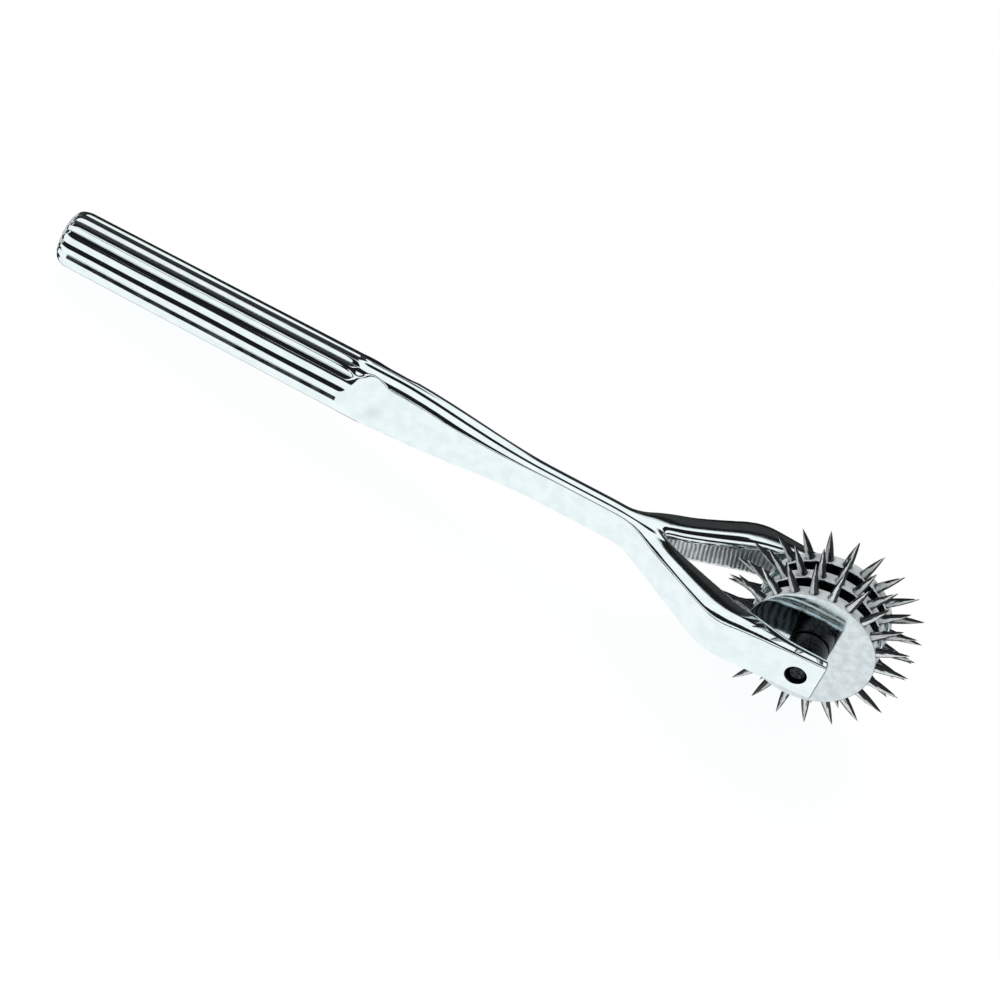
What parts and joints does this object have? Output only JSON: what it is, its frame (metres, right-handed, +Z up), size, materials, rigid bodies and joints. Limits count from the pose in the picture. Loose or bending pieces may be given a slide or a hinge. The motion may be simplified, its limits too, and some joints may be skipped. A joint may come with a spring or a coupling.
{
  "type": "neurological pinwheel",
  "caption": "Steel sensory pinwheel: a fluted round grip and slim flat neck forged into a fork that holds pinned discs turning side by side on one axle.",
  "frame": {"origin": "under the middle of the instrument as it lies on a table, on the table's surface", "axes": "+X from the grip to the wheel, +Y along the axle to the far arm, +Z up"},
  "size_m": [0.1788, 0.031, 0.0384],
  "materials": {
    "polished_steel": "mirror polished",
    "pin_steel": "polished, ground to a point",
    "axle_steel": "turned"
  },
  "bodies": {
    "handle": {"handle_fork": "polished_steel", "axle": "axle_steel", "far_outer_spacer": "axle_steel", "far_middle_spacer": "axle_steel", "near_middle_spacer": "axle_steel", "near_outer_spacer": "axle_steel"},
    "near_wheel": {"near_disc": "polished_steel", "near_pin_01": "pin_steel", "near_pin_02": "pin_steel", "near_pin_03": "pin_steel", "near_pin_04": "pin_steel", "near_pin_05": "pin_steel", "near_pin_06": "pin_steel", "near_pin_07": "pin_steel", "near_pin_08": "pin_steel", "near_pin_09": "pin_steel", "near_pin_10": "pin_steel", "near_pin_11": "pin_steel", "near_pin_12": "pin_steel", "near_pin_13": "pin_steel", "near_pin_14": "pin_steel", "near_pin_15": "pin_steel", "near_pin_16": "pin_steel", "near_pin_17": "pin_steel", "near_pin_18": "pin_steel", "near_pin_19": "pin_steel", "near_pin_20": "pin_steel", "near_pin_21": "pin_steel", "near_pin_22": "pin_steel"},
    "middle_wheel": {"middle_pin_disc": "polished_steel"},
    "far_wheel": {"far_disc": "polished_steel", "far_pin_01": "pin_steel", "far_pin_02": "pin_steel", "far_pin_03": "pin_steel", "far_pin_04": "pin_steel", "far_pin_05": "pin_steel", "far_pin_06": "pin_steel", "far_pin_07": "pin_steel", "far_pin_08": "pin_steel", "far_pin_09": "pin_steel", "far_pin_10": "pin_steel", "far_pin_11": "pin_steel", "far_pin_12": "pin_steel", "far_pin_13": "pin_steel", "far_pin_14": "pin_steel", "far_pin_15": "pin_steel", "far_pin_16": "pin_steel", "far_pin_17": "pin_steel", "far_pin_18": "pin_steel", "far_pin_19": "pin_steel", "far_pin_20": "pin_steel", "far_pin_21": "pin_steel", "far_pin_22": "pin_steel"}
  },
  "joints": [
    {"name": "near_wheel_spin", "type": "hinge", "parent": "handle", "child": "near_wheel", "pos_m": [0.06996, -0.0051, 0.01922], "axis": [0, 1, 0], "continuous": true},
    {"name": "middle_wheel_spin", "type": "hinge", "parent": "handle", "child": "middle_wheel", "pos_m": [0.06996, 0, 0.01922], "axis": [0, 1, 0], "continuous": true},
    {"name": "far_wheel_spin", "type": "hinge", "parent": "handle", "child": "far_wheel", "pos_m": [0.06996, 0.0051, 0.01922], "axis": [0, 1, 0], "continuous": true}
  ]
}
